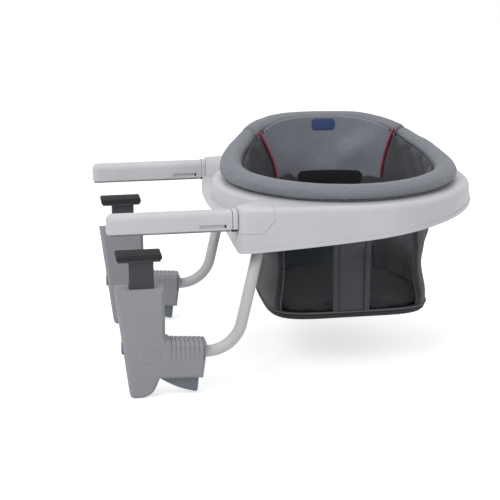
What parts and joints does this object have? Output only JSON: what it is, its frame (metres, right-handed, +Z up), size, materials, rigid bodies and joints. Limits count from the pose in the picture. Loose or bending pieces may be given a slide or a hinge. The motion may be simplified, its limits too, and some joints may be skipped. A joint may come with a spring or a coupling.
{
  "type": "hook-on table chair",
  "caption": "Baby chair that hooks onto a table edge: padded seat turning in a ring frame, two arms over the table top and two pistol-grip clamps under it.",
  "frame": {"origin": "middle of the lip's underside, where it rests on the table top 12 mm in from the edge", "axes": "+X from the table towards the seat, +Y across the chair to its right arm, +Z up; the table edge is the plane x = 0.012"},
  "size_m": [0.5878, 0.4218, 0.3561],
  "materials": {
    "shell": "fine satin",
    "sleeve": "satin",
    "clamp": "fine matt grain",
    "trigger": "matt",
    "inner": "matt",
    "steel": "brushed",
    "tube": "smooth powder coat",
    "rubber": "matt",
    "grip": "matt",
    "leatherette": "soft grain, matt",
    "side_cloth": "woven",
    "bucket_cloth": "coarse weave",
    "binding": "ribbed tape",
    "piping": "smooth",
    "patch": "smooth",
    "webbing": "ribbed webbing",
    "buckle": "satin"
  },
  "bodies": {
    "frame": {"frame_body": "shell", "corner_cover_left": "shell", "corner_cover_right": "shell", "arm_tube_left": "steel", "arm_tube_right": "steel", "arm_bracket_left": "inner", "arm_bracket_right": "inner", "arm_sleeve_left": "sleeve", "arm_sleeve_right": "sleeve", "arm_grip_left": "grip", "arm_grip_right": "grip", "arm_collar_left": "shell", "arm_collar_right": "shell", "collar_pad_left": "rubber", "collar_pad_right": "rubber", "lip_pad": "rubber", "glide_ring": "sleeve", "lock_guide": "inner"},
    "seat": {"carrier_ring": "inner", "retaining_ring": "inner", "rim_pad": "leatherette", "head_pad": "leatherette", "back_liner": "leatherette", "side_liner_left": "side_cloth", "side_liner_right": "side_cloth", "piping_left": "piping", "piping_right": "piping", "label": "patch", "front_liner": "leatherette", "crotch_panel": "bucket_cloth", "leg_binding_left": "binding", "leg_binding_right": "binding", "seat_pan": "bucket_cloth", "seat_board": "inner", "seat_cushion": "bucket_cloth", "waist_belt": "webbing", "belt_strap_left": "webbing", "belt_strap_right": "webbing", "crotch_strap": "webbing", "buckle_body": "buckle"},
    "buckle_release": {"buckle_button": "trigger"},
    "seat_lock": {"lock_slider": "trigger"},
    "lower_arm_left": {"lower_tube_left": "tube", "clamp_shell_outer_left": "clamp", "clamp_shell_inner_left": "clamp", "trigger_pin_left": "steel", "trigger_spring_left": "steel"},
    "jack_left": {"jack_post_left": "inner", "jack_pad_left": "rubber"},
    "squeeze_left": {"trigger_left": "trigger"},
    "release_left": {"release_button_left": "trigger"},
    "lower_arm_right": {"lower_tube_right": "tube", "clamp_shell_outer_right": "clamp", "clamp_shell_inner_right": "clamp", "trigger_pin_right": "steel", "trigger_spring_right": "steel"},
    "jack_right": {"jack_post_right": "inner", "jack_pad_right": "rubber"},
    "squeeze_right": {"trigger_right": "trigger"},
    "release_right": {"release_button_right": "trigger"}
  },
  "joints": [
    {"name": "seat_rotation", "type": "hinge", "parent": "frame", "child": "seat", "pos_m": [0.202, 0, 0.034], "axis": [0, 0, 1], "continuous": true},
    {"name": "lock_slide", "type": "slide", "parent": "frame", "child": "seat_lock", "axis": [-1, 0, 0], "range_m": [0, 0.006]},
    {"name": "buckle_press", "type": "slide", "parent": "seat", "child": "buckle_release", "axis": [0, -1, 0], "range_m": [0, 0.002], "stiffness_N_per_m": 300, "springref_m": -0.002},
    {"name": "swivel_left", "type": "hinge", "parent": "frame", "child": "lower_arm_left", "pos_m": [0.0445, -0.175, -0.035], "axis": [0.225, 0, 0.9744], "range_deg": [-50, 0]},
    {"name": "jack_slide_left", "type": "slide", "parent": "lower_arm_left", "child": "jack_left", "axis": [0, 0, 1], "range_m": [-0.04, 0.008]},
    {"name": "trigger_squeeze_left", "type": "hinge", "parent": "lower_arm_left", "child": "squeeze_left", "pos_m": [-0.1, -0.175, -0.209], "axis": [0, -1, 0], "range_deg": [0, 14], "stiffness_Nm_per_rad": 0.3, "springref_deg": -8.59},
    {"name": "release_press_left", "type": "slide", "parent": "lower_arm_left", "child": "release_left", "axis": [1, 0, 0], "range_m": [0, 0.0025], "stiffness_N_per_m": 400, "springref_m": -0.002},
    {"name": "swivel_right", "type": "hinge", "parent": "frame", "child": "lower_arm_right", "pos_m": [0.0445, 0.175, -0.035], "axis": [0.225, 0, 0.9744], "range_deg": [0, 50]},
    {"name": "jack_slide_right", "type": "slide", "parent": "lower_arm_right", "child": "jack_right", "axis": [0, 0, 1], "range_m": [-0.04, 0.008]},
    {"name": "trigger_squeeze_right", "type": "hinge", "parent": "lower_arm_right", "child": "squeeze_right", "pos_m": [-0.1, 0.175, -0.209], "axis": [0, -1, 0], "range_deg": [0, 14], "stiffness_Nm_per_rad": 0.3, "springref_deg": -8.59},
    {"name": "release_press_right", "type": "slide", "parent": "lower_arm_right", "child": "release_right", "axis": [1, 0, 0], "range_m": [0, 0.0025], "stiffness_N_per_m": 400, "springref_m": -0.002}
  ]
}
